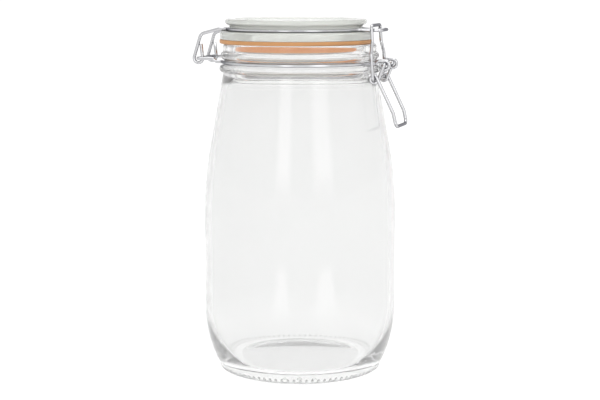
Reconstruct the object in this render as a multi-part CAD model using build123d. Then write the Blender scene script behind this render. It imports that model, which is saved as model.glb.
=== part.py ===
from build123d import *
import math
import os

# A clip-top preserving jar, closed and latched. Millimetres, +Z up, origin at the centre of the
# base on the surface that it stands on. The hinge is on -X and the latch on +X.

# glass jar: radii and heights of its outer profile, from the foot to the neck
FOOT_RADIUS = 45.5
FOOT_BEND = 6.0
HEEL_RADIUS = 50.2
HEEL_HEIGHT = 2.3
HEEL_BEND = 78.1
HEEL_TOP = 40.0
BODY_RADIUS = 59.9
SHOULDER_START = 98.0
SHOULDER_BEND = 251.7
SHOULDER_SLOPE = 10.3
NECK_FOOT = 180.0
NECK_SWEEP = 45.0
NECK_RADIUS = 48.0
NECK_START = 187.6

# its inside: the wall, the floor and the raised middle of the base
WALL = 3.5
INNER_HEEL_RADIUS = 46.8
INNER_HEEL_HEIGHT = 9.5
INNER_HEEL_BEND = 53.2
FLOOR_EDGE_RADIUS = 41.0
FLOOR_EDGE_HEIGHT = 7.0
FLOOR_EDGE_BEND = 9.0
FLOOR_CENTRE = 9.4
PUNT_RADIUS = 38.0
PUNT_RISE = 3.4
MOUTH_RADIUS = 41.3
THROAT_TOP = 192.0
THROAT_BOTTOM = 178.0

# the neck finish: collar bead, groove of the neck wire, rim bead and lip
BEAD_RADIUS = 50.2
BEAD_HEIGHT = 190.4
BEAD_LEDGE = 192.3
GROOVE_RADIUS = 46.98
GROOVE_HEIGHT = 194.0
RIM_BEAD_FOOT = 195.7
RIM_BEAD_RADIUS = 49.3
RIM_BEAD_HEIGHT = 198.0
LIP_RADIUS = 47.6
LIP_FOOT = 200.5
LIP_HEIGHT = 205.5
LIP_ROUND = 1.6
NEARLY = 1.01  # a rounding this much wider than its corner ends just short of a quarter turn

# four wires of one size, bent into rings, pins, coils and loops
WIRE = 1.0
NECK_RING = 48.0
LID_RING = 42.15
COIL = 2.2
COIL_CORNERS = 7
COIL_BEND = 2.15
EYE = 2.6

# lid and seal, clamped a little towards the hinge
LID_SHIFT = -2.6
SEAL_RADIUS = 47.4
SEAL_HOLE = 38.2
SEAL_THICKNESS = 2.4
SEAL_ROUND = 0.5
FLANGE_RADIUS = 47.2
FLANGE_BOTTOM = LIP_HEIGHT + SEAL_THICKNESS
LID_RING_HEIGHT = 214.15
FLANGE_TOP = LID_RING_HEIGHT - WIRE - 0.02
WAIST_RADIUS = LID_RING - WIRE - 0.02
WAIST_TOP = 215.8
DISC_RADIUS = 44.1
DISC_BOTTOM = 217.0
LID_TOP = 220.6
RECESS_RADIUS = 37.0
RECESS_DEPTH = 0.8
RECESS_BEVEL = 1.2
DISC_ROUND = 1.5
FLANGE_ROUND = 1.3
PLUG_RADIUS = 37.7
PLUG_TIP_RADIUS = 36.6
PLUG_BOTTOM = 200.0
PLUG_TIP = 1.2
PLUG_HOLLOW = 32.6
HOLLOW_SHOULDER = (31.4, 206.5)
HOLLOW_BEND = 9.0
HOLLOW_EDGE = (24.0, 212.0)
HOLLOW_TOP = 212.6

# pivots in the side view, as (x, z): hinge bar, lever pivot and bail pivot
HINGE = (-62.3, 195.8)
PIVOT = (56.8, 193.7)
BAIL_PIVOT = (50.8, 184.6)

# half widths of the wires, from the middle plane
BRACKET_HALF = 15.3
HOOK_HALF = 12.5
ARM_HALF = 9.4
CRANK_HALF = 11.5
HANDLE_HALF = 13.65
LEG_HALF = 15.85
BAR_HALF = 10.8
NOSE_HALF = 8.3
PIN_END = 7.9
BAIL_PIN_END = 12.4

# where the wires run in the side view
ARM_HEIGHT = 195.8
ARM_JOG = (50.8, 52.8)
BRACKET_JOG = (-49.6, -52.0)
HOOK_CORNER = (-60.9, 210.9)
HOOK_ARM_START = -48.5
HOOK_BOTTOM = 192.95
HOOK_FOOT = (-66.5, -59.5)
PRONG_TOP = (-60.8, 204.7)
NOSE_REACH = 53.7
HANDLE_KINK = (63.2, 164.2)
HANDLE_END = (65.0, 156.2)
BAIL_BAR = (48.4, 217.0)
LEG_JOG = (207.0, 200.0)

# bend radii of the wires, in the order that the bends come
ARM_BENDS = [2.4, 1.4, 1.4]
BRACKET_BENDS = [2.2, 1.6, 1.6, 1.7]
HOOK_BENDS = [4.0, 4.0, 4.0, 2.85, 2.85]
NOSE_BENDS = [5.0, 2.0]
CRANK_BEND = 1.5
HANDLE_BENDS = [6.0, 4.0]
BAIL_BENDS = [1.5, 3.0, 3.0, 2.2]

# how far round each ring, in degrees from the X axis, its straight runs leave
ARM_LEAVES = 14.5
BRACKET_LEAVES = 22.0
NOSE_LEAVES = 17.0
HOOK_LEAVES = 22.0


def lathe(*outline):
    """One turned solid from edges that close round one half of its section, as (radius, height)."""
    face = make_face(Plane.XZ * Curve(list(outline)))
    return revolve(face, Axis.Z)


def wall_arc(start, end, radius, bulge):
    """A round stretch of an outline. It bulges away from the axis for bulge 1, towards it for -1."""
    middle_r = (start[0] + end[0]) / 2
    middle_z = (start[1] + end[1]) / 2
    run_r = end[0] - start[0]
    run_z = end[1] - start[1]
    chord = math.hypot(run_r, run_z)
    rise = radius - math.sqrt(radius**2 - chord**2 / 4)
    side = bulge * rise / chord * (1 if run_z > 0 else -1)
    return ThreePointArc(start, (middle_r + side * run_z, middle_z - side * run_r), end)


def long_curve(start, end, radius, bulge):
    """The same curve as a spline, for a bend whose centre lies near or beyond the axis."""
    arc = wall_arc(start, end, radius, bulge)
    return Spline(arc @ 0, arc @ 0.5, arc @ 1, tangents=[arc % 0, arc % 1])


def dome(edge, centre_z, inwards=True):
    """A shallow spherical stretch between a point of the outline and the axis."""
    rise = centre_z - edge[1]
    radius = (edge[0] ** 2 + rise**2) / (2 * rise)
    middle_r = edge[0] / 2
    middle_z = centre_z - radius + math.copysign(math.sqrt(radius**2 - middle_r**2), radius)
    ends = [edge, (middle_r, middle_z), (0, centre_z)]
    return ThreePointArc(*(ends if inwards else ends[::-1]))


def shoulder_points(inset):
    """The body's two ends of the shoulder's bend, and the foot of the neck, moved in by inset."""
    slope = math.radians(SHOULDER_SLOPE)
    bend = SHOULDER_BEND - inset
    top_z = SHOULDER_START + bend * math.sin(slope)
    top_r = BODY_RADIUS - inset - bend * (1 - math.cos(slope))
    return (BODY_RADIUS - inset, SHOULDER_START), (top_r, top_z)


def glass_jar():
    """The jar: foot, heel, straight body, sloping shoulder and a thick neck with beads."""
    slope = math.tan(math.radians(SHOULDER_SLOPE))
    body_top, bend_top = shoulder_points(0)
    neck_foot = (bend_top[0] - slope * (NECK_FOOT - bend_top[1]), NECK_FOOT)
    outer = [
        wall_arc((FOOT_RADIUS, 0), (HEEL_RADIUS, HEEL_HEIGHT), FOOT_BEND, 1),
        long_curve((HEEL_RADIUS, HEEL_HEIGHT), (BODY_RADIUS, HEEL_TOP), HEEL_BEND, 1),
        Line((BODY_RADIUS, HEEL_TOP), body_top),
        long_curve(body_top, bend_top, SHOULDER_BEND, 1),
        Line(bend_top, neck_foot),
        wall_arc(neck_foot, (NECK_RADIUS, NECK_START), NECK_SWEEP, -1),
        ThreePointArc(
            (NECK_RADIUS, NECK_START), (BEAD_RADIUS, BEAD_HEIGHT), (NECK_RADIUS, BEAD_LEDGE)
        ),
        ThreePointArc(
            (NECK_RADIUS, BEAD_LEDGE), (GROOVE_RADIUS, GROOVE_HEIGHT), (LIP_RADIUS, RIM_BEAD_FOOT)
        ),
        ThreePointArc(
            (LIP_RADIUS, RIM_BEAD_FOOT), (RIM_BEAD_RADIUS, RIM_BEAD_HEIGHT), (LIP_RADIUS, LIP_FOOT)
        ),
        Line((LIP_RADIUS, LIP_FOOT), (LIP_RADIUS, LIP_HEIGHT - LIP_ROUND)),
        wall_arc(
            (LIP_RADIUS, LIP_HEIGHT - LIP_ROUND), (LIP_RADIUS - LIP_ROUND, LIP_HEIGHT), LIP_ROUND, 1
        ),
    ]
    in_body, in_bend = shoulder_points(WALL)
    throat = (in_bend[0] - slope * (THROAT_BOTTOM - in_bend[1]), THROAT_BOTTOM)
    heel = (INNER_HEEL_RADIUS, INNER_HEEL_HEIGHT)
    floor_edge = (FLOOR_EDGE_RADIUS, FLOOR_EDGE_HEIGHT)
    inner = [
        Line((LIP_RADIUS - LIP_ROUND, LIP_HEIGHT), (MOUTH_RADIUS + LIP_ROUND, LIP_HEIGHT)),
        wall_arc(
            (MOUTH_RADIUS + LIP_ROUND, LIP_HEIGHT), (MOUTH_RADIUS, LIP_HEIGHT - LIP_ROUND),
            LIP_ROUND * NEARLY, -1,
        ),
        Line((MOUTH_RADIUS, LIP_HEIGHT - LIP_ROUND), (MOUTH_RADIUS, THROAT_TOP)),
        Spline((MOUTH_RADIUS, THROAT_TOP), throat, tangents=[(0, -1), (slope, -1)]),
        Line(throat, in_bend),
        long_curve(in_bend, in_body, SHOULDER_BEND - WALL, 1),
        Line(in_body, (BODY_RADIUS - WALL, HEEL_TOP)),
        long_curve((BODY_RADIUS - WALL, HEEL_TOP), heel, INNER_HEEL_BEND, 1),
        wall_arc(heel, floor_edge, FLOOR_EDGE_BEND, 1),
        dome(floor_edge, FLOOR_CENTRE),
        Line((0, FLOOR_CENTRE), (0, PUNT_RISE)),
        dome((PUNT_RADIUS, 0), PUNT_RISE, inwards=False),
        Line((PUNT_RADIUS, 0), (FOOT_RADIUS, 0)),
    ]
    return lathe(*outer, *inner)


def glass_lid():
    """The lid: a top disc over a waist for its wire, a flange, and a hollow plug in the mouth."""
    outline = [
        Line((0, LID_TOP - RECESS_DEPTH), (RECESS_RADIUS, LID_TOP - RECESS_DEPTH)),
        Line((RECESS_RADIUS, LID_TOP - RECESS_DEPTH), (RECESS_RADIUS + RECESS_BEVEL, LID_TOP)),
        Line((RECESS_RADIUS + RECESS_BEVEL, LID_TOP), (DISC_RADIUS - DISC_ROUND, LID_TOP)),
        wall_arc(
            (DISC_RADIUS, LID_TOP - DISC_ROUND), (DISC_RADIUS - DISC_ROUND, LID_TOP),
            DISC_ROUND * NEARLY, 1,
        ),
        Line((DISC_RADIUS, LID_TOP - DISC_ROUND), (DISC_RADIUS, DISC_BOTTOM + DISC_ROUND)),
        wall_arc(
            (DISC_RADIUS - DISC_ROUND, DISC_BOTTOM), (DISC_RADIUS, DISC_BOTTOM + DISC_ROUND),
            DISC_ROUND * NEARLY, 1,
        ),
        Line((DISC_RADIUS - DISC_ROUND, DISC_BOTTOM), (WAIST_RADIUS, WAIST_TOP)),
        Line((WAIST_RADIUS, WAIST_TOP), (WAIST_RADIUS, FLANGE_TOP)),
        Line((WAIST_RADIUS, FLANGE_TOP), (FLANGE_RADIUS - FLANGE_ROUND, FLANGE_TOP)),
        wall_arc(
            (FLANGE_RADIUS, FLANGE_TOP - FLANGE_ROUND), (FLANGE_RADIUS - FLANGE_ROUND, FLANGE_TOP),
            FLANGE_ROUND * NEARLY, 1,
        ),
        Line((FLANGE_RADIUS, FLANGE_TOP - FLANGE_ROUND), (FLANGE_RADIUS, FLANGE_BOTTOM)),
        Line((FLANGE_RADIUS, FLANGE_BOTTOM), (PLUG_RADIUS, FLANGE_BOTTOM)),
        Line((PLUG_RADIUS, FLANGE_BOTTOM), (PLUG_TIP_RADIUS, PLUG_BOTTOM + PLUG_TIP)),
        ThreePointArc(
            (PLUG_TIP_RADIUS, PLUG_BOTTOM + PLUG_TIP),
            ((PLUG_TIP_RADIUS + PLUG_HOLLOW) / 2, PLUG_BOTTOM),
            (PLUG_HOLLOW, PLUG_BOTTOM + PLUG_TIP),
        ),
        Line((PLUG_HOLLOW, PLUG_BOTTOM + PLUG_TIP), HOLLOW_SHOULDER),
        wall_arc(HOLLOW_SHOULDER, HOLLOW_EDGE, HOLLOW_BEND, 1),
        dome(HOLLOW_EDGE, HOLLOW_TOP),
        Line((0, HOLLOW_TOP), (0, LID_TOP - RECESS_DEPTH)),
    ]
    return Pos(LID_SHIFT, 0, 0) * lathe(*outline)


def rubber_seal():
    """A flat ring between the jar's lip and the lid's flange."""
    ring = Cylinder(SEAL_RADIUS, SEAL_THICKNESS) - Cylinder(SEAL_HOLE, SEAL_THICKNESS)
    ring = fillet(ring.edges().filter_by(GeomType.CIRCLE).sort_by(SortBy.RADIUS)[-2:], SEAL_ROUND)
    return Pos(LID_SHIFT, 0, LIP_HEIGHT + SEAL_THICKNESS / 2) * ring


def polar(centre, radius, degrees, y):
    """A point on a circle seen from the side, at an angle from +X towards +Z."""
    turn = math.radians(degrees)
    return (centre[0] + radius * math.cos(turn), y, centre[1] + radius * math.sin(turn))


def mirrored(points):
    """The same points on the other side of the middle plane, in reverse order."""
    return [(x, -y, z) for x, y, z in reversed(points)]


def ring_point(radius, degrees, height, shift=0.0):
    """A point of a wire ring, at an angle from +X towards +Y."""
    turn = math.radians(degrees)
    return (shift + radius * math.cos(turn), radius * math.sin(turn), height)


def ring_exit(radius, degrees, half_width, height, shift=0.0):
    """Where the ring's tangent at that angle meets a straight run at a half width."""
    turn = math.radians(degrees)
    x, y, z = ring_point(radius, degrees, height, shift)
    return (x + (y - half_width) * math.tan(turn), half_width, z)


def ring_arc(radius, first, last, height, shift=0.0):
    """The arc of a wire ring from one angle to another."""
    ends = [ring_point(radius, a, height, shift) for a in (first, (first + last) / 2, last)]
    return ThreePointArc(*ends)


def rod(*pieces):
    """Sweeps the round wire along curves that join end to end."""
    path = Wire([edge for piece in pieces for edge in piece.edges()])
    section = Plane(origin=path @ 0, z_dir=path % 0) * Circle(WIRE)
    return sweep(section, path=path)


def neck_wire():
    """The open ring round the neck: eyes for the lever in front, and the hinge bar behind."""
    z = GROOVE_HEIGHT
    front = [
        ring_point(NECK_RING, ARM_LEAVES, z),
        ring_exit(NECK_RING, ARM_LEAVES, ARM_HALF, z),
        (ARM_JOG[0], ARM_HALF, z),
        (ARM_JOG[1], ARM_HALF, ARM_HEIGHT),
        (PIVOT[0], ARM_HALF, ARM_HEIGHT),
    ]
    back = [
        ring_point(NECK_RING, 180 - BRACKET_LEAVES, z),
        ring_exit(NECK_RING, 180 - BRACKET_LEAVES, BRACKET_HALF, z),
        (BRACKET_JOG[0], BRACKET_HALF, z),
        (BRACKET_JOG[1], BRACKET_HALF, HINGE[1]),
        (HINGE[0], BRACKET_HALF, HINGE[1]),
    ]
    eye_centre = (PIVOT[0], ARM_HEIGHT - EYE)
    eyes = [
        ThreePointArc(*[polar(eye_centre, EYE, a, side * ARM_HALF) for a in (90, -60, -195)])
        for side in (1, -1)
    ]
    return rod(
        eyes[0],
        FilletPolyline(*front, radius=ARM_BENDS),
        ring_arc(NECK_RING, ARM_LEAVES, 180 - BRACKET_LEAVES, z),
        FilletPolyline(*back, *mirrored(back), radius=BRACKET_BENDS + BRACKET_BENDS[::-1]),
        ring_arc(NECK_RING, 180 + BRACKET_LEAVES, 360 - ARM_LEAVES, z),
        FilletPolyline(*mirrored(front), radius=ARM_BENDS[::-1]),
        eyes[1],
    )


def lid_wire():
    """The ring round the lid's waist: a flat nose in front, and two hooks on the hinge bar."""
    z = LID_RING_HEIGHT
    nose = [
        ring_point(LID_RING, NOSE_LEAVES, z, LID_SHIFT),
        ring_exit(LID_RING, NOSE_LEAVES, NOSE_HALF, z, LID_SHIFT),
        (NOSE_REACH, NOSE_HALF, z),
    ]
    hook = [
        ring_point(LID_RING, 180 - HOOK_LEAVES, z, LID_SHIFT),
        ring_exit(LID_RING, 180 - HOOK_LEAVES, HOOK_HALF, z, LID_SHIFT),
        (HOOK_ARM_START, HOOK_HALF, z),
        (HOOK_CORNER[0], HOOK_HALF, HOOK_CORNER[1]),
        (HOOK_FOOT[0], HOOK_HALF, HOOK_BOTTOM),
        (HOOK_FOOT[1], HOOK_HALF, HOOK_BOTTOM),
        (PRONG_TOP[0], HOOK_HALF, PRONG_TOP[1]),
    ]
    return rod(
        FilletPolyline(*hook, radius=HOOK_BENDS),
        ring_arc(LID_RING, 180 - HOOK_LEAVES, NOSE_LEAVES, z, LID_SHIFT),
        FilletPolyline(*nose, *mirrored(nose), radius=NOSE_BENDS + NOSE_BENDS[::-1]),
        ring_arc(LID_RING, -NOSE_LEAVES, HOOK_LEAVES - 180, z, LID_SHIFT),
        FilletPolyline(*mirrored(hook), radius=HOOK_BENDS[::-1]),
    )


def tangent_angle(start, centre, side):
    """Where on the coil a straight run from or to a point touches it, in degrees."""
    away = math.degrees(math.atan2(start[1] - centre[1], start[0] - centre[0]))
    distance = math.hypot(start[0] - centre[0], start[1] - centre[1])
    return away + side * math.degrees(math.acos(COIL / distance))


def coil():
    """Corners round the bail's pin: most of a turn, stepping out from crank to handle."""
    first = tangent_angle(PIVOT, BAIL_PIVOT, -1)
    last = tangent_angle(HANDLE_KINK, BAIL_PIVOT, 1) - 360
    step = (last - first) / COIL_CORNERS
    reach = COIL / math.cos(math.radians(step / 2))
    shift = (HANDLE_HALF - CRANK_HALF) / (COIL_CORNERS - 1)
    return [
        polar(BAIL_PIVOT, reach, first + (k + 0.5) * step, CRANK_HALF + k * shift)
        for k in range(COIL_CORNERS)
    ]


def lever():
    """The handle: pins in the eyes, cranks, coils round the bail's pins, and a long loop."""
    half = [
        (PIVOT[0], PIN_END, PIVOT[1]),
        (PIVOT[0], CRANK_HALF, PIVOT[1]),
        *coil(),
        (HANDLE_KINK[0], HANDLE_HALF, HANDLE_KINK[1]),
        (HANDLE_END[0], HANDLE_HALF, HANDLE_END[1]),
    ]
    bends = [CRANK_BEND] + [COIL_BEND] * COIL_CORNERS + HANDLE_BENDS
    return rod(FilletPolyline(*half, *mirrored(half), radius=bends + bends[::-1]))


def bail():
    """The clip: pins in the coils, legs that step inwards, and the bar over the nose."""

    def on_leg(y, z):
        share = (BAIL_BAR[1] - z) / (BAIL_BAR[1] - BAIL_PIVOT[1])
        return (BAIL_BAR[0] + share * (BAIL_PIVOT[0] - BAIL_BAR[0]), y, z)

    half = [
        (BAIL_PIVOT[0], BAIL_PIN_END, BAIL_PIVOT[1]),
        on_leg(LEG_HALF, BAIL_PIVOT[1]),
        on_leg(LEG_HALF, LEG_JOG[1]),
        on_leg(BAR_HALF, LEG_JOG[0]),
        on_leg(BAR_HALF, BAIL_BAR[1]),
    ]
    return rod(FilletPolyline(*half, *mirrored(half), radius=BAIL_BENDS + BAIL_BENDS[::-1]))


NODES = {
    "glass_jar": glass_jar,
    "neck_wire": neck_wire,
    "glass_lid": glass_lid,
    "rubber_seal": rubber_seal,
    "lid_wire": lid_wire,
    "lever": lever,
    "bail": bail,
}


def main():
    os.makedirs("parts", exist_ok=True)
    for name, make in NODES.items():
        export_step(make(), f"parts/{name}.step")


main()
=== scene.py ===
import math

import bmesh
import bpy
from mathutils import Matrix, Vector


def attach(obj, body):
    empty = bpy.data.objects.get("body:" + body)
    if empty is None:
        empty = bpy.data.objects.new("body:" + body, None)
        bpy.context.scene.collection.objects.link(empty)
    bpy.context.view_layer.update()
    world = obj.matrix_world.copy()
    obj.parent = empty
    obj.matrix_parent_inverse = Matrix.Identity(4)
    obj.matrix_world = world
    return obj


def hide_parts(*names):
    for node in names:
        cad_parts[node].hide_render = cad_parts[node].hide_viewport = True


bl_info = {
    "name": "Clip-Top Jar",
    "version": (1, 0, 0),
    "blender": (4, 5, 0),
    "location": "View3D > Sidebar > Clip Jar",
    "description": "Builds a lidded glass canister with a wire clip around its fixed frame",
    "category": "Object",
}

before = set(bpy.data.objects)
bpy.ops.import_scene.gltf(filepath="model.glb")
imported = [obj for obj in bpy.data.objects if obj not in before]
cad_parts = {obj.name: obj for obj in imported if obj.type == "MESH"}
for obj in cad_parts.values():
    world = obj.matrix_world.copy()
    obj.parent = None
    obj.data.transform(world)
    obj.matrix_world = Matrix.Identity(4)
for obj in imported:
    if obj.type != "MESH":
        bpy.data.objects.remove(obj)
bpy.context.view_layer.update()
MM = 0.001

# surface texture: waves per metre, and how far the bumps stand out in metres
GLASS_WAVES = 22.0
GLASS_WAVE_STRETCH = (1.0, 1.0, 0.35)
WIRE_STAINS = 260.0
WIRE_MARKS = 2400.0
WIRE_MARK_DEPTH = 0.00001
RUBBER_MOTTLE = 180.0
RUBBER_GRAIN = 3200.0
RUBBER_GRAIN_DEPTH = 0.00004
SHARP_ANGLE = math.radians(38.0)

# heights in metres over which the glass grows clearer towards its foot and its neck
FOOT_CLEARS = (0.044, 0.022)
NECK_CLEARS = (0.174, 0.188)
# and over which painted light on the seal's lip starts, under the ring: the lip glows to stand in for
# light that reaches it through glass
LIP_PAINTED_LIGHT_STARTS = (0.2054, 0.2050)

# the stage: floor, soft boxes and overhead light, in metres, degrees and watts
FLOOR_REACH = 40.0
FLOOR_GREY = 0.14
FLOOR_GLOW = 0.95
WINDOWS = (("left", -20.0, 0.56), ("right", 28.0, 0.78))
WINDOW_DISTANCE = 1.5
WINDOW_HEIGHT = 0.62
WINDOW_TALL = 1.1
WINDOW_AIM = (0.0, 0.0, 0.12)
GLINT_DISTANCE = 0.33
GLINT_HEIGHT = 0.004
GLINT_WIDTH_SHARE = 0.17
GLINT_LONG = 0.24
LAYERS = (1.0, 0.84, 0.68, 0.52)
OVERHEAD_SIZE = 1.6
OVERHEAD_POWER = 14.0
OVERHEAD_PLACE = (0.0, 0.2, 1.8)
BACKDROP_STARTS = 0.1
BACKDROP_FULL = 0.75


# ---- settings -----------------------------------------------------------------------------


class CLIPJAR_PG_glass(bpy.types.PropertyGroup):
    jar_tint: bpy.props.FloatVectorProperty(
        name="Jar tint", description="Colour of the jar's clear glass", subtype="COLOR",
        size=3, min=0.0, max=1.0, default=(0.972, 0.974, 0.972),
    )
    lid_tint: bpy.props.FloatVectorProperty(
        name="Lid tint", description="Colour of the lid's thick pressed glass", subtype="COLOR",
        size=3, min=0.0, max=1.0, default=(0.87, 0.885, 0.845),
    )
    jar_clear: bpy.props.FloatProperty(
        name="Jar clearness", description="Share of light that passes the jar's wall cleanly",
        min=0.0, max=1.0, default=0.81, subtype="FACTOR",
    )
    foot_clear: bpy.props.FloatProperty(
        name="Foot clearness", description="The same share in the jar's foot",
        min=0.0, max=1.0, default=0.87, subtype="FACTOR",
    )
    neck_clear: bpy.props.FloatProperty(
        name="Neck clearness", description="The same share in the jar's neck",
        min=0.0, max=1.0, default=0.95, subtype="FACTOR",
    )
    lid_clear: bpy.props.FloatProperty(
        name="Lid clearness", description="Share of light that passes the lid cleanly",
        min=0.0, max=1.0, default=0.62, subtype="FACTOR",
    )
    refraction: bpy.props.FloatProperty(
        name="Refraction", description="Index of refraction of the glass",
        min=1.0, max=2.0, default=1.44,
    )
    waviness: bpy.props.FloatProperty(
        name="Waviness", description="Height of the slow waves that moulding leaves in the glass",
        min=0.0, max=0.001, default=0.00004, precision=6, subtype="DISTANCE", unit="LENGTH",
    )
    sectors: bpy.props.IntProperty(
        name="Sectors", description="Faces round each turned piece", min=24, max=512, default=240,
    )


class CLIPJAR_PG_knurl(bpy.types.PropertyGroup):
    count: bpy.props.IntProperty(
        name="Marks", description="Grip marks round the foot", min=3, max=200, default=84,
    )
    radius: bpy.props.FloatProperty(
        name="Radius", description="Distance of the row from the jar's axis", min=0.02,
        max=0.06, default=0.0501, subtype="DISTANCE", unit="LENGTH",
    )
    lift: bpy.props.FloatProperty(
        name="Lift", description="Height of the row above the floor", min=0.0, max=0.05,
        default=0.0027, subtype="DISTANCE", unit="LENGTH",
    )
    lean: bpy.props.FloatProperty(
        name="Lean", description="Outward lean of a mark, along the foot's slope",
        default=math.radians(26.0), subtype="ANGLE", unit="ROTATION",
    )
    length: bpy.props.FloatProperty(
        name="Length", description="Length of a mark up the foot", min=0.0005, max=0.01,
        default=0.0034, subtype="DISTANCE", unit="LENGTH",
    )
    width: bpy.props.FloatProperty(
        name="Width", description="Width of a mark", min=0.0002, max=0.005,
        default=0.0017, subtype="DISTANCE", unit="LENGTH",
    )
    height: bpy.props.FloatProperty(
        name="Depth", description="Thickness of a mark, half of it in the wall", min=0.0001,
        max=0.003, default=0.0011, subtype="DISTANCE", unit="LENGTH",
    )
    spread: bpy.props.FloatProperty(
        name="Unevenness", description="How far the marks differ in length", min=0.0,
        max=0.9, default=0.06, subtype="FACTOR",
    )
    clearness: bpy.props.FloatProperty(
        name="Clearness", description="Share of light that passes a mark cleanly", min=0.0,
        max=1.0, default=0.9, subtype="FACTOR",
    )
    tint: bpy.props.FloatVectorProperty(
        name="Tint", description="Colour of the thick glass in a mark", subtype="COLOR",
        size=3, min=0.0, max=1.0, default=(0.93, 0.94, 0.93),
    )
    seed: bpy.props.IntProperty(
        name="Seed", description="Picks which marks are the shorter ones", min=0, default=7,
    )


class CLIPJAR_PG_metal(bpy.types.PropertyGroup):
    wire_colour: bpy.props.FloatVectorProperty(
        name="Wire colour", description="Colour of the bright steel wire", subtype="COLOR",
        size=3, min=0.0, max=1.0, default=(0.62, 0.62, 0.635),
    )
    edge_colour: bpy.props.FloatVectorProperty(
        name="Edge colour", description="Tint of the wire where it turns away", subtype="COLOR",
        size=3, min=0.0, max=1.0, default=(0.3, 0.3, 0.32),
    )
    wire_roughness: bpy.props.FloatProperty(
        name="Wire roughness", description="How far the drawn wire blurs its reflections",
        min=0.0, max=1.0, default=0.13, subtype="FACTOR",
    )
    weld_distance: bpy.props.FloatProperty(
        name="Weld distance", description="Points closer than this become one",
        min=0.0, max=0.001, default=0.000005, precision=7, subtype="DISTANCE", unit="LENGTH",
    )


class CLIPJAR_PG_seal(bpy.types.PropertyGroup):
    colour: bpy.props.FloatVectorProperty(
        name="Seal colour", description="Colour of the natural rubber", subtype="COLOR",
        size=3, min=0.0, max=1.0, default=(0.56, 0.275, 0.105),
    )
    # painted light: the seal's lip glows in this colour, a stand-in for light that reaches it through
    # glass
    lip_painted_light_colour: bpy.props.FloatVectorProperty(
        name="Lip colour", description="Colour of the light that the lip gives back",
        subtype="COLOR", size=3, min=0.0, max=1.0, default=(0.9, 0.3, 0.06),
    )
    lip_painted_light_strength: bpy.props.FloatProperty(
        name="Lip light", description="Stands in for light that reaches the lip through glass",
        min=0.0, max=2.0, default=0.42,
    )


class CLIPJAR_PG_stage(bpy.types.PropertyGroup):
    azimuth: bpy.props.FloatProperty(
        name="Azimuth", description="Turn of the camera from the front towards the latch",
        default=math.radians(17.0), subtype="ANGLE", unit="ROTATION",
    )
    distance: bpy.props.FloatProperty(
        name="Distance", description="Level distance from the camera to the jar's axis",
        min=0.1, max=10.0, default=0.981, subtype="DISTANCE", unit="LENGTH",
    )
    height: bpy.props.FloatProperty(
        name="Height", description="Height of the camera", min=0.0, max=5.0,
        default=0.2485, subtype="DISTANCE", unit="LENGTH",
    )
    pitch: bpy.props.FloatProperty(
        name="Pitch", description="Downward tilt of the camera",
        default=math.radians(8.21), subtype="ANGLE", unit="ROTATION",
    )
    lens: bpy.props.FloatProperty(
        name="Lens", description="Focal length on a 36 mm sensor", min=10.0, max=300.0,
        default=94.4, unit="CAMERA",
    )
    backdrop: bpy.props.FloatProperty(
        name="Backdrop", description="Brightness of the white behind the jar", min=0.0, max=5.0,
        default=1.02,
    )
    room: bpy.props.FloatProperty(
        name="Room", description="Brightness of the studio on the camera's side", min=0.0,
        max=5.0, default=0.93,
    )
    window: bpy.props.FloatProperty(
        name="Windows", description="Brightness of the two tall soft boxes", min=0.0,
        max=20.0, default=1.8,
    )
    glint: bpy.props.FloatProperty(
        name="Low glints", description="Brightness of the two low panels in front of the jar",
        min=0.0, max=20.0, default=1.3,
    )


# ---- node helpers -------------------------------------------------------------------------


def new_material(name):
    """A material with nothing but its output and a Principled shader."""
    material = bpy.data.materials.new(name)
    material.use_nodes = True
    nodes = material.node_tree.nodes
    shader = nodes["Principled BSDF"]
    return material, nodes, material.node_tree.links, shader


def object_noise(nodes, links, scale, detail=2.0, stretch=(1.0, 1.0, 1.0)):
    """Noise in the piece's own space, in waves per metre."""
    place = nodes.new("ShaderNodeTexCoord")
    mapping = nodes.new("ShaderNodeMapping")
    mapping.inputs["Scale"].default_value = stretch
    noise = nodes.new("ShaderNodeTexNoise")
    noise.inputs["Scale"].default_value = scale
    noise.inputs["Detail"].default_value = detail
    links.new(place.outputs["Object"], mapping.inputs["Vector"])
    links.new(mapping.outputs["Vector"], noise.inputs["Vector"])
    return noise


def bump(nodes, links, shader, height, distance, strength=1.0):
    """Raises the surface by a texture, over a distance in metres."""
    node = nodes.new("ShaderNodeBump")
    node.inputs["Strength"].default_value = strength
    node.inputs["Distance"].default_value = distance
    links.new(height, node.inputs["Height"])
    links.new(node.outputs["Normal"], shader.inputs["Normal"])


def glass_material(name, tint, clearness, settings):
    """Clear glass with a faint haze and the slow waves of a moulded wall."""
    material, nodes, links, shader = new_material(name)
    shader.inputs["Base Color"].default_value = (*tint, 1.0)
    shader.inputs["Roughness"].default_value = 0.0
    shader.inputs["IOR"].default_value = settings.refraction
    shader.inputs["Transmission Weight"].default_value = clearness
    waves = object_noise(nodes, links, GLASS_WAVES, 1.0, GLASS_WAVE_STRETCH)
    bump(nodes, links, shader, waves.outputs["Fac"], settings.waviness)
    return material


def height_ramp(nodes, links, heights, low, high):
    """A value that goes from low to high between two heights in the piece's own space."""
    place = nodes.new("ShaderNodeTexCoord")
    apart = nodes.new("ShaderNodeSeparateXYZ")
    links.new(place.outputs["Object"], apart.inputs["Vector"])
    ramp = nodes.new("ShaderNodeMapRange")
    ramp.inputs["From Min"].default_value, ramp.inputs["From Max"].default_value = heights
    ramp.inputs["To Min"].default_value = low
    ramp.inputs["To Max"].default_value = high
    links.new(apart.outputs["Z"], ramp.inputs["Value"])
    return ramp.outputs["Result"]


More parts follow.
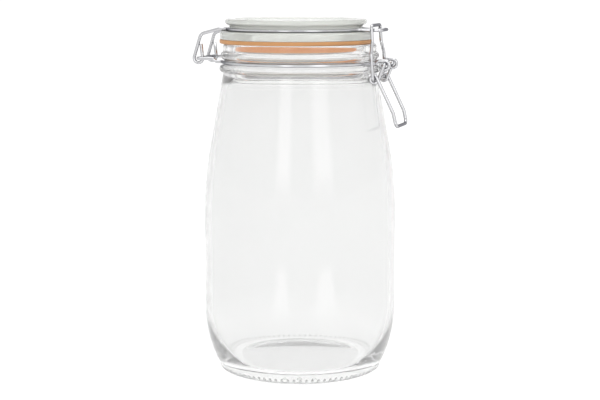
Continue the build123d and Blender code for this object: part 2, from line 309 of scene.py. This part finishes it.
def clear_ends(material, settings):
    """Leaves most of the haze to the body: the thick foot and neck stay clearer."""
    nodes, links = material.node_tree.nodes, material.node_tree.links
    low = settings.jar_clear
    most = nodes.new("ShaderNodeMath")
    most.operation = "MAXIMUM"
    foot = height_ramp(nodes, links, FOOT_CLEARS, low, settings.foot_clear)
    neck = height_ramp(nodes, links, NECK_CLEARS, low, settings.neck_clear)
    links.new(foot, most.inputs[0])
    links.new(neck, most.inputs[1])
    links.new(most.outputs["Value"], nodes["Principled BSDF"].inputs["Transmission Weight"])


def wire_material(settings):
    """Bright drawn steel with faint marks along it."""
    material, nodes, links, shader = new_material("bright_wire")
    shader.inputs["Metallic"].default_value = 1.0
    shader.inputs["Specular Tint"].default_value = (*settings.edge_colour, 1.0)
    stains = object_noise(nodes, links, WIRE_STAINS, 3.0)
    ramp = nodes.new("ShaderNodeMix")
    ramp.data_type = "RGBA"
    colour = Vector(settings.wire_colour)
    ramp.inputs["A"].default_value = (*(colour * 0.86), 1.0)
    ramp.inputs["B"].default_value = (*colour, 1.0)
    links.new(stains.outputs["Fac"], ramp.inputs["Factor"])
    links.new(ramp.outputs["Result"], shader.inputs["Base Color"])
    rough = nodes.new("ShaderNodeMapRange")
    rough.inputs["To Min"].default_value = settings.wire_roughness * 0.7
    rough.inputs["To Max"].default_value = settings.wire_roughness * 1.5
    links.new(stains.outputs["Fac"], rough.inputs["Value"])
    links.new(rough.outputs["Result"], shader.inputs["Roughness"])
    marks = object_noise(nodes, links, WIRE_MARKS, 2.0)
    bump(nodes, links, shader, marks.outputs["Fac"], WIRE_MARK_DEPTH, 0.4)
    return material


def rubber_material(settings):
    """Satin orange rubber, slightly mottled, with painted light on the lip below the lid: it glows a
    little, standing in for light that reaches it through glass.
    """
    material, nodes, links, shader = new_material("orange_rubber")
    mottle = object_noise(nodes, links, RUBBER_MOTTLE, 4.0)
    mix = nodes.new("ShaderNodeMix")
    mix.data_type = "RGBA"
    colour = Vector(settings.colour)
    mix.inputs["A"].default_value = (*(colour * 0.82), 1.0)
    mix.inputs["B"].default_value = (*colour, 1.0)
    links.new(mottle.outputs["Fac"], mix.inputs["Factor"])
    links.new(mix.outputs["Result"], shader.inputs["Base Color"])
    shader.inputs["Roughness"].default_value = 0.55
    # painted light: the lip under the ring glows orange, standing in for light that reaches it through
    # glass
    painted_lip_light = height_ramp(nodes, links, LIP_PAINTED_LIGHT_STARTS, 0.0, settings.lip_painted_light_strength)
    links.new(painted_lip_light, shader.inputs["Emission Strength"])
    shader.inputs["Emission Color"].default_value = (*settings.lip_painted_light_colour, 1.0)
    grain = object_noise(nodes, links, RUBBER_GRAIN, 2.0)
    bump(nodes, links, shader, grain.outputs["Fac"], RUBBER_GRAIN_DEPTH, 0.5)
    return material


# ---- mesh helpers -------------------------------------------------------------------------


def arc(start, end, radius, bulge, steps):
    """Points from start to just before end, round an arc that bulges outwards for bulge 1."""
    (r0, z0), (r1, z1) = start, end
    run = Vector((r1 - r0, z1 - z0))
    chord = run.length
    side = Vector((run.y, -run.x)).normalized() * bulge * (1 if run.y > 0 else -1)
    radius = max(radius, chord / 2 * 1.0001)
    depth = math.sqrt(radius**2 - chord**2 / 4)
    centre = Vector(((r0 + r1) / 2, (z0 + z1) / 2)) - side * depth
    a = Vector(start) - centre
    b = Vector(end) - centre
    turn = a.angle_signed(b) * -1.0
    points = []
    for k in range(steps):
        c, s = math.cos(turn * k / steps), math.sin(turn * k / steps)
        points.append((centre.x + a.x * c - a.y * s, centre.y + a.x * s + a.y * c))
    return points


def through(start, middle, end, steps):
    """Points from start to just before end, on the circle through three points."""
    (ax, ay), (bx, by), (cx, cy) = start, middle, end
    d = 2 * (ax * (by - cy) + bx * (cy - ay) + cx * (ay - by))
    a2, b2, c2 = ax * ax + ay * ay, bx * bx + by * by, cx * cx + cy * cy
    ux = (a2 * (by - cy) + b2 * (cy - ay) + c2 * (ay - by)) / d
    uy = (a2 * (cx - bx) + b2 * (ax - cx) + c2 * (bx - ax)) / d
    radius = math.hypot(ax - ux, ay - uy)
    first = math.atan2(ay - uy, ax - ux)
    mid = (math.atan2(by - uy, bx - ux) - first) % (2 * math.pi)
    last = (math.atan2(cy - uy, cx - ux) - first) % (2 * math.pi)
    turn = last if mid < last else last - 2 * math.pi
    return [
        (ux + radius * math.cos(first + turn * k / steps),
         uy + radius * math.sin(first + turn * k / steps))
        for k in range(steps)
    ]


def straight(start, end, steps):
    """Points from start to just before end."""
    return [
        (start[0] + (end[0] - start[0]) * k / steps, start[1] + (end[1] - start[1]) * k / steps)
        for k in range(steps)
    ]


def ease(start, end, slope, steps):
    """Points from an upright start down to an end that leaves at a slope, before the end."""
    drop = start[1] - end[1]
    points = []
    for k in range(steps):
        t = k / steps
        r = start[0] + (end[0] - start[0]) * (3 * t * t - 2 * t**3) + slope * drop * (t**3 - t**2)
        points.append((r, start[1] - drop * t))
    return points


def dome(edge, centre_z, steps):
    """Points of a shallow sphere from an edge to just before the axis."""
    rise = centre_z - edge[1]
    return [
        (edge[0] * (1 - k / steps), edge[1] + rise * (1 - (1 - k / steps) ** 2))
        for k in range(steps)
    ]


def lathe(name, outline, sectors, shift=0.0, closed=False):
    """Turns an outline in millimetres about the axis into a closed smooth mesh."""
    verts, rows = [], []
    for r, z in outline:
        if r < 1e-6:
            rows.append([len(verts)])
            verts.append((shift * MM, 0.0, z * MM))
            continue
        rows.append(list(range(len(verts), len(verts) + sectors)))
        for k in range(sectors):
            a = 2 * math.pi * k / sectors
            verts.append(((shift + r * math.cos(a)) * MM, r * math.sin(a) * MM, z * MM))
    pairs = list(zip(rows, rows[1:]))
    if closed:
        pairs.append((rows[-1], rows[0]))
    faces = []
    for low, high in pairs:
        for k in range(sectors):
            n = (k + 1) % sectors
            if len(low) == 1:
                faces.append((low[0], high[n], high[k]))
            elif len(high) == 1:
                faces.append((low[k], low[n], high[0]))
            else:
                faces.append((low[k], low[n], high[n], high[k]))
    mesh = bpy.data.meshes.new(name)
    mesh.from_pydata(verts, [], faces)
    return finish_mesh(name, mesh)


def finish_mesh(name, mesh):
    """Turns the normals outwards, shades the mesh smooth and links it as an object."""
    work = bmesh.new()
    work.from_mesh(mesh)
    bmesh.ops.recalc_face_normals(work, faces=work.faces)
    work.to_mesh(mesh)
    work.free()
    mesh.shade_smooth()
    mesh.set_sharp_from_angle(angle=SHARP_ANGLE)
    piece = bpy.data.objects.new(name, mesh)
    bpy.context.scene.collection.objects.link(piece)
    return piece


# ---- outlines, in millimetres -------------------------------------------------------------

HEEL_TOP = 40.0
BODY_RADIUS = 59.9
SHOULDER_START = 98.0
SHOULDER_BEND = 251.7
SHOULDER_ANGLE = math.radians(10.3)
SLOPE = math.tan(SHOULDER_ANGLE)
WALL = 3.5
NECK_FOOT = 180.0
THROAT = 178.0
NECK = 48.0
BEAD = (50.2, 190.4)
GROOVE = (46.98, 194.0)
RIM_BEAD = (49.3, 198.0)
LIP = 47.6
LIP_TOP = 205.5
MOUTH = 41.3
LID_SHIFT = -2.6
LID_TOP = 220.6
RECESS = 219.8
DISC = 44.1
WAIST = 41.13
FLANGE = 47.2
FLANGE_TOP = 213.13
FLANGE_BOTTOM = 207.9


def shoulder(inset):
    """Where the shoulder's bend ends, for a surface set in from the outer one."""
    bend = SHOULDER_BEND - inset
    drop = bend * (1 - math.cos(SHOULDER_ANGLE))
    return (BODY_RADIUS - inset - drop, SHOULDER_START + bend * math.sin(SHOULDER_ANGLE))


def jar_outline():
    """From the middle of the punt, out and up the outside, over the lip and down the inside."""
    bend = shoulder(0.0)
    neck_foot = (bend[0] - SLOPE * (NECK_FOOT - bend[1]), NECK_FOOT)
    body_foot = (BODY_RADIUS, HEEL_TOP)
    body_top = (BODY_RADIUS, SHOULDER_START)
    in_bend = shoulder(WALL)
    throat = (in_bend[0] - SLOPE * (THROAT - in_bend[1]), THROAT)
    in_body = (BODY_RADIUS - WALL, SHOULDER_START)
    in_foot = (BODY_RADIUS - WALL, HEEL_TOP)
    punt = dome((38.0, 0.0), 3.4, 10)
    floor = dome((41.0, 7.0), 9.4, 12)
    return [
        (0.0, 3.4), *punt[:0:-1], (38.0, 0.0),
        *straight((38.4, 0.0), (45.2, 0.0), 3),
        *arc((45.5, 0.0), (50.2, 2.3), 6.0, 1, 8),
        *arc((50.2, 2.3), body_foot, 78.1, 1, 20),
        *straight(body_foot, body_top, 6),
        *arc(body_top, bend, SHOULDER_BEND, 1, 12),
        *straight(bend, neck_foot, 6),
        *arc(neck_foot, (NECK, 187.4), 45.0, -1, 6),
        *through((NECK, 187.6), BEAD, (NECK, 192.3), 12),
        *through((NECK, 192.3), GROOVE, (LIP, 195.7), 10),
        *through((LIP, 195.7), RIM_BEAD, (LIP, 200.5), 14),
        *straight((LIP, 200.5), (LIP, 203.9), 4),
        *arc((LIP, 203.9), (46.0, LIP_TOP), 1.6, 1, 6),
        *straight((46.0, LIP_TOP), (42.9, LIP_TOP), 3),
        *through((42.9, LIP_TOP), (41.77, 205.03), (MOUTH, 203.9), 6),
        *straight((MOUTH, 203.9), (MOUTH, 192.0), 6),
        *ease((MOUTH, 192.0), throat, SLOPE, 10),
        *straight(throat, in_bend, 6),
        *arc(in_bend, in_body, SHOULDER_BEND - WALL, 1, 12),
        *straight(in_body, in_foot, 6),
        *arc(in_foot, (46.8, 9.5), 53.2, 1, 16),
        *arc((46.8, 9.5), (41.0, 7.0), 9.0, 1, 8),
        *floor, (0.0, 9.4),
    ]


def lid_outline():
    """From the middle of the top, over the disc, waist and flange, round the plug to its roof."""
    hollow_edge = (24.0, 212.0)
    return [
        (0.0, RECESS), *straight((4.0, RECESS), (36.6, RECESS), 5),
        *through((36.6, RECESS), (37.7, 220.05), (38.4, LID_TOP), 4),
        *straight((38.6, LID_TOP), (42.4, LID_TOP), 3),
        *through((42.4, LID_TOP), (43.62, 220.12), (DISC, 218.9), 7),
        *through((DISC, 218.9), (43.7, 217.6), (42.6, 217.0), 6),
        *through((42.6, 217.0), (41.5, 216.2), (WAIST, 215.2), 6),
        *straight((WAIST, 215.2), (WAIST, 214.0), 2),
        *through((WAIST, 214.0), (41.4, 213.4), (42.0, FLANGE_TOP), 4),
        *straight((42.0, FLANGE_TOP), (45.7, FLANGE_TOP), 3),
        *through((45.7, FLANGE_TOP), (46.76, 212.69), (FLANGE, 211.63), 7),
        *straight((FLANGE, 211.63), (FLANGE, 208.6), 4),
        *through((FLANGE, 208.6), (47.0, 208.1), (46.5, FLANGE_BOTTOM), 4),
        *straight((46.5, FLANGE_BOTTOM), (38.2, FLANGE_BOTTOM), 4),
        *through((38.2, FLANGE_BOTTOM), (37.85, 207.75), (37.65, 207.4), 3),
        *straight((37.65, 207.4), (36.6, 201.2), 6),
        *through((36.6, 201.2), (34.6, 200.0), (32.6, 201.2), 12),
        *straight((32.6, 201.2), (31.4, 206.5), 5),
        *arc((31.4, 206.5), hollow_edge, 9.0, 1, 14),
        *dome(hollow_edge, 212.6, 10), (0.0, 212.6),
    ]


def seal_outline():
    """The rubber ring's section: rounded outside, with a thin lip that hugs the plug inside."""
    low, high = LIP_TOP, FLANGE_BOTTOM
    return [
        (38.0, low), *straight((37.75, low - 0.4), (36.9, low - 4.1), 6),
        *through((36.9, low - 4.1), (37.35, low - 4.5), (37.8, low - 4.1), 5),
        *straight((37.8, low - 4.1), (38.55, low - 0.1), 6),
        *straight((38.6, low), (46.9, low), 4),
        *through((46.9, low), (47.25, low + 0.15), (47.4, low + 0.5), 5),
        *straight((47.4, low + 0.5), (47.4, high - 0.5), 3),
        *through((47.4, high - 0.5), (47.25, high - 0.15), (46.9, high), 5),
        *straight((46.9, high), (39.0, high), 4), (38.2, high), (38.1, low + 1.2),
    ]


# ---- operators ----------------------------------------------------------------------------


class CLIPJAR_OT_jar(bpy.types.Operator):
    """Turns the jar in clear glass"""

    bl_idname = "clipjar.jar"
    bl_label = "Glass Jar"

    def execute(self, context):
        glass = context.scene.clipjar_glass
        piece = lathe("jar_vessel", jar_outline(), glass.sectors)
        material = glass_material("jar_glass", glass.jar_tint, glass.jar_clear, glass)
        clear_ends(material, glass)
        piece.data.materials.append(material)
        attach(piece, "jar")
        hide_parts("glass_jar")
        return {"FINISHED"}


class CLIPJAR_OT_lid(bpy.types.Operator):
    """Turns the lid in thick pressed glass"""

    bl_idname = "clipjar.lid"
    bl_label = "Glass Lid"

    def execute(self, context):
        glass = context.scene.clipjar_glass
        piece = lathe("lid_disc", lid_outline(), glass.sectors, LID_SHIFT)
        piece.data.materials.append(glass_material("lid_glass", glass.lid_tint, glass.lid_clear, glass))
        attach(piece, "lid")
        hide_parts("glass_lid")
        return {"FINISHED"}


class CLIPJAR_OT_seal(bpy.types.Operator):
    """Turns the rubber seal"""

    bl_idname = "clipjar.seal"
    bl_label = "Rubber Seal"

    def execute(self, context):
        sectors = context.scene.clipjar_glass.sectors
        piece = lathe("seal_ring", seal_outline(), sectors, LID_SHIFT, closed=True)
        piece.data.materials.append(rubber_material(context.scene.clipjar_seal))
        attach(piece, "lid")
        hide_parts("rubber_seal")
        return {"FINISHED"}


class CLIPJAR_OT_wires(bpy.types.Operator):
    """Smooths the four bent wires and gives them their metal"""

    bl_idname = "clipjar.wires"
    bl_label = "Wires"

    def execute(self, context):
        metal = context.scene.clipjar_metal
        material = wire_material(metal)
        riders = {"neck_wire": "jar", "lid_wire": "lid", "lever": "lever", "bail": "bail"}
        for node, body in riders.items():
            work = bmesh.new()
            work.from_mesh(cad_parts[node].data)
            bmesh.ops.remove_doubles(work, verts=work.verts, dist=metal.weld_distance)
            mesh = bpy.data.meshes.new(f"{node}_rod")
            work.to_mesh(mesh)
            work.free()
            piece = finish_mesh(f"{node}_rod", mesh)
            piece.data.materials.clear()
            piece.data.materials.append(material)
            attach(piece, body)
            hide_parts(node)
        return {"FINISHED"}


def knurl_tree(mark_material):
    """A node tree that sets one bar at even steps round the foot."""
    tree = bpy.data.node_groups.new("grip_marks", "GeometryNodeTree")
    sizes = ("Radius", "Lift", "Lean", "Length", "Width", "Height", "Spread")
    sockets = [("Geometry", "NodeSocketGeometry"), ("Count", "NodeSocketInt")]
    sockets += [(name, "NodeSocketFloat") for name in sizes]
    sockets.append(("Seed", "NodeSocketInt"))
    for name, kind in sockets:
        tree.interface.new_socket(name, in_out="INPUT", socket_type=kind)
    tree.interface.new_socket("Geometry", in_out="OUTPUT", socket_type="NodeSocketGeometry")
    nodes, link = tree.nodes, tree.links.new
    given = nodes.new("NodeGroupInput").outputs
    ring = nodes.new("GeometryNodeMeshCircle")
    link(given["Count"], ring.inputs["Vertices"])
    link(given["Radius"], ring.inputs["Radius"])
    lift = nodes.new("ShaderNodeCombineXYZ")
    link(given["Lift"], lift.inputs["Z"])
    raised = nodes.new("GeometryNodeSetPosition")
    link(ring.outputs["Mesh"], raised.inputs["Geometry"])
    link(lift.outputs["Vector"], raised.inputs["Offset"])
    bar = nodes.new("GeometryNodeMeshUVSphere")
    bar.inputs["Segments"].default_value = 12
    bar.inputs["Rings"].default_value = 8
    bar.inputs["Radius"].default_value = 0.5
    place = nodes.new("GeometryNodeInputPosition")
    apart = nodes.new("ShaderNodeSeparateXYZ")
    link(place.outputs["Position"], apart.inputs["Vector"])
    turn = nodes.new("ShaderNodeMath")
    turn.operation = "ARCTAN2"
    link(apart.outputs["Y"], turn.inputs[0])
    link(apart.outputs["X"], turn.inputs[1])
    facing = nodes.new("ShaderNodeCombineXYZ")
    link(given["Lean"], facing.inputs["Y"])
    link(turn.outputs["Value"], facing.inputs["Z"])
    size = nodes.new("ShaderNodeCombineXYZ")
    link(given["Height"], size.inputs["X"])
    link(given["Width"], size.inputs["Y"])
    uneven = nodes.new("FunctionNodeRandomValue")
    low = nodes.new("ShaderNodeMath")
    low.operation = "SUBTRACT"
    low.inputs[0].default_value = 1.0
    link(given["Spread"], low.inputs[1])
    link(low.outputs["Value"], uneven.inputs[2])
    uneven.inputs[3].default_value = 1.0
    link(given["Seed"], uneven.inputs["Seed"])
    length = nodes.new("ShaderNodeMath")
    length.operation = "MULTIPLY"
    link(given["Length"], length.inputs[0])
    link(uneven.outputs[1], length.inputs[1])
    link(length.outputs["Value"], size.inputs["Z"])
    spread = nodes.new("GeometryNodeInstanceOnPoints")
    link(raised.outputs["Geometry"], spread.inputs["Points"])
    link(bar.outputs["Mesh"], spread.inputs["Instance"])
    link(facing.outputs["Vector"], spread.inputs["Rotation"])
    link(size.outputs["Vector"], spread.inputs["Scale"])
    real = nodes.new("GeometryNodeRealizeInstances")
    link(spread.outputs["Instances"], real.inputs["Geometry"])
    coat = nodes.new("GeometryNodeSetMaterial")
    coat.inputs["Material"].default_value = mark_material
    link(real.outputs["Geometry"], coat.inputs["Geometry"])
    link(coat.outputs["Geometry"], nodes.new("NodeGroupOutput").inputs["Geometry"])
    return tree


class CLIPJAR_OT_knurl(bpy.types.Operator):
    """Sets the row of moulded grip marks round the foot"""

    bl_idname = "clipjar.knurl"
    bl_label = "Grip Marks"

    def execute(self, context):
        knurl = context.scene.clipjar_knurl
        glass = context.scene.clipjar_glass
        marks = glass_material("mark_glass", knurl.tint, knurl.clearness, glass)
        tree = knurl_tree(marks)
        seat = bpy.data.meshes.new("grip_seat")
        holder = bpy.data.objects.new("grip_seat", seat)
        bpy.context.scene.collection.objects.link(holder)
        modifier = holder.modifiers.new("grip_marks", "NODES")
        modifier.node_group = tree
        values = {
            "Count": knurl.count, "Radius": knurl.radius, "Lift": knurl.lift, "Lean": knurl.lean,
            "Length": knurl.length, "Width": knurl.width, "Height": knurl.height,
            "Spread": knurl.spread, "Seed": knurl.seed,
        }
        for item in tree.interface.items_tree:
            if item.in_out == "INPUT" and item.name in values:
                modifier[item.identifier] = values[item.name]
        made = holder.evaluated_get(bpy.context.evaluated_depsgraph_get())
        mesh = bpy.data.meshes.new_from_object(made)
        holder.modifiers.remove(modifier)
        bpy.data.objects.remove(holder)
        piece = finish_mesh("grip_marks", mesh)
        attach(piece, "jar")
        return {"FINISHED"}


class CLIPJAR_OT_stage(bpy.types.Operator):
    """Sets the floor, the white surround, the soft boxes and the camera"""

    bl_idname = "clipjar.stage"
    bl_label = "Stage"

    def execute(self, context):
        stage = context.scene.clipjar_stage
        make_floor()
        make_world(stage)
        make_lights(stage)
        make_camera(stage)
        return {"FINISHED"}


def make_floor():
    """A wide pale floor that mostly gives off its own light, so it stays an even white."""
    mesh = bpy.data.meshes.new("floor")
    reach = FLOOR_REACH
    corners = [(-reach, -reach, 0), (reach, -reach, 0), (reach, reach, 0), (-reach, reach, 0)]
    mesh.from_pydata(corners, [], [(0, 1, 2, 3)])
    floor = bpy.data.objects.new("floor", mesh)
    bpy.context.scene.collection.objects.link(floor)
    material, nodes, links, shader = new_material("pale_floor")
    shader.inputs["Base Color"].default_value = (FLOOR_GREY, FLOOR_GREY, FLOOR_GREY, 1.0)
    shader.inputs["Roughness"].default_value = 0.9
    shader.inputs["Specular IOR Level"].default_value = 0.0
    shader.inputs["Emission Color"].default_value = (1.0, 1.0, 1.0, 1.0)
    shader.inputs["Emission Strength"].default_value = FLOOR_GLOW
    mesh.materials.append(material)


def make_world(stage):
    """A studio that is white behind the jar and dim on the camera's side."""
    world = bpy.data.worlds.new("studio")
    bpy.context.scene.world = world
    world.use_nodes = True
    nodes, links = world.node_tree.nodes, world.node_tree.links
    background = nodes["Background"]
    place = nodes.new("ShaderNodeTexCoord")
    away = nodes.new("ShaderNodeVectorMath")
    away.operation = "DOT_PRODUCT"
    away.inputs[1].default_value = (-math.sin(stage.azimuth), math.cos(stage.azimuth), 0.0)
    links.new(place.outputs["Generated"], away.inputs[0])
    level = nodes.new("ShaderNodeMapRange")
    level.interpolation_type = "SMOOTHSTEP"
    level.inputs["From Min"].default_value = BACKDROP_STARTS
    level.inputs["From Max"].default_value = BACKDROP_FULL
    level.inputs["To Min"].default_value = stage.room
    level.inputs["To Max"].default_value = stage.backdrop
    links.new(away.outputs["Value"], level.inputs["Value"])
    links.new(level.outputs["Result"], background.inputs["Strength"])
    background.inputs["Color"].default_value = (1.0, 1.0, 1.0, 1.0)


def soft_box(name, turn, distance, height, size, brightness, aim):
    """A rectangular area light at a turn about the jar's axis, aimed at a point.

    Glass reflects it, but it doesn't show through glass.
    """
    light = bpy.data.lights.new(name, "AREA")
    light.shape = "RECTANGLE"
    light.size, light.size_y = size
    light.energy = brightness * math.pi * size[0] * size[1]
    lamp = bpy.data.objects.new(name, light)
    bpy.context.scene.collection.objects.link(lamp)
    lamp.visible_transmission = False
    lamp.location = (math.sin(turn) * distance, -math.cos(turn) * distance, height)
    facing = (Vector(aim) - lamp.location).to_track_quat("-Z", "Y")
    lamp.rotation_euler = facing.to_euler()
    return lamp


def make_lights(stage):
    """Two tall soft boxes, two low panels before the jar, and one light above.

    Boxes of four sizes lie over one another, so their reflections fade towards the edges.
    """
    for side, turn, width in WINDOWS:
        angle = stage.azimuth + math.radians(turn)
        for k, share in enumerate(LAYERS):
            size = (width * share, WINDOW_TALL * share)
            soft_box(f"{side}_window_{k}", angle, WINDOW_DISTANCE - 0.01 * k, WINDOW_HEIGHT,
                     size, stage.window / len(LAYERS), WINDOW_AIM)
            size = (width * GLINT_WIDTH_SHARE * share, GLINT_LONG * share)
            glint = soft_box(f"{side}_glint_{k}", angle, GLINT_DISTANCE,
                             GLINT_HEIGHT + 0.001 * k, size, stage.glint / len(LAYERS),
                             (0.0, 0.0, 1.0))
            glint.rotation_euler = (math.pi, 0.0, angle)
    light = bpy.data.lights.new("overhead", "AREA")
    light.size = OVERHEAD_SIZE
    light.energy = OVERHEAD_POWER
    lamp = bpy.data.objects.new("overhead", light)
    bpy.context.scene.collection.objects.link(lamp)
    lamp.visible_transmission = False
    lamp.location = OVERHEAD_PLACE


def make_camera(stage):
    """The camera, a little above the lid and looking slightly down."""
    data = bpy.data.cameras.new("camera")
    data.sensor_width = 36.0
    data.lens = stage.lens
    data.clip_end = 200.0
    camera = bpy.data.objects.new("camera", data)
    bpy.context.scene.collection.objects.link(camera)
    a = stage.azimuth
    camera.location = (math.sin(a) * stage.distance, -math.cos(a) * stage.distance, stage.height)
    camera.rotation_euler = (math.pi / 2 - stage.pitch, 0.0, a)
    bpy.context.scene.camera = camera


class CLIPJAR_PT_panel(bpy.types.Panel):
    """Lists the jar's pieces in the sidebar"""

    bl_idname = "CLIPJAR_PT_panel"
    bl_label = "Clip-Top Jar"
    bl_space_type = "VIEW_3D"
    bl_region_type = "UI"
    bl_category = "Clip Jar"

    def draw(self, context):
        for group in GROUPS:
            box = self.layout.box()
            values = getattr(context.scene, group)
            for name in values.__annotations__:
                box.prop(values, name)
        for operator in OPERATORS:
            self.layout.operator(operator.bl_idname)


GROUPS = {
    "clipjar_glass": CLIPJAR_PG_glass,
    "clipjar_knurl": CLIPJAR_PG_knurl,
    "clipjar_metal": CLIPJAR_PG_metal,
    "clipjar_seal": CLIPJAR_PG_seal,
    "clipjar_stage": CLIPJAR_PG_stage,
}
OPERATORS = (
    CLIPJAR_OT_jar, CLIPJAR_OT_knurl, CLIPJAR_OT_lid, CLIPJAR_OT_seal, CLIPJAR_OT_wires,
    CLIPJAR_OT_stage,
)


def register():
    for group in GROUPS.values():
        bpy.utils.register_class(group)
    for name, group in GROUPS.items():
        setattr(bpy.types.Scene, name, bpy.props.PointerProperty(type=group))
    for cls in (*OPERATORS, CLIPJAR_PT_panel):
        bpy.utils.register_class(cls)


def unregister():
    for cls in (CLIPJAR_PT_panel, *reversed(OPERATORS)):
        bpy.utils.unregister_class(cls)
    for name in GROUPS:
        delattr(bpy.types.Scene, name)
    for group in reversed(list(GROUPS.values())):
        bpy.utils.unregister_class(group)


def main():
    register()
    bpy.context.scene.view_settings.view_transform = "Standard"
    bpy.ops.clipjar.jar()
    bpy.ops.clipjar.knurl()
    bpy.ops.clipjar.lid()
    bpy.ops.clipjar.seal()
    bpy.ops.clipjar.wires()
    bpy.ops.clipjar.stage()


if __name__ == "__main__":
    main()
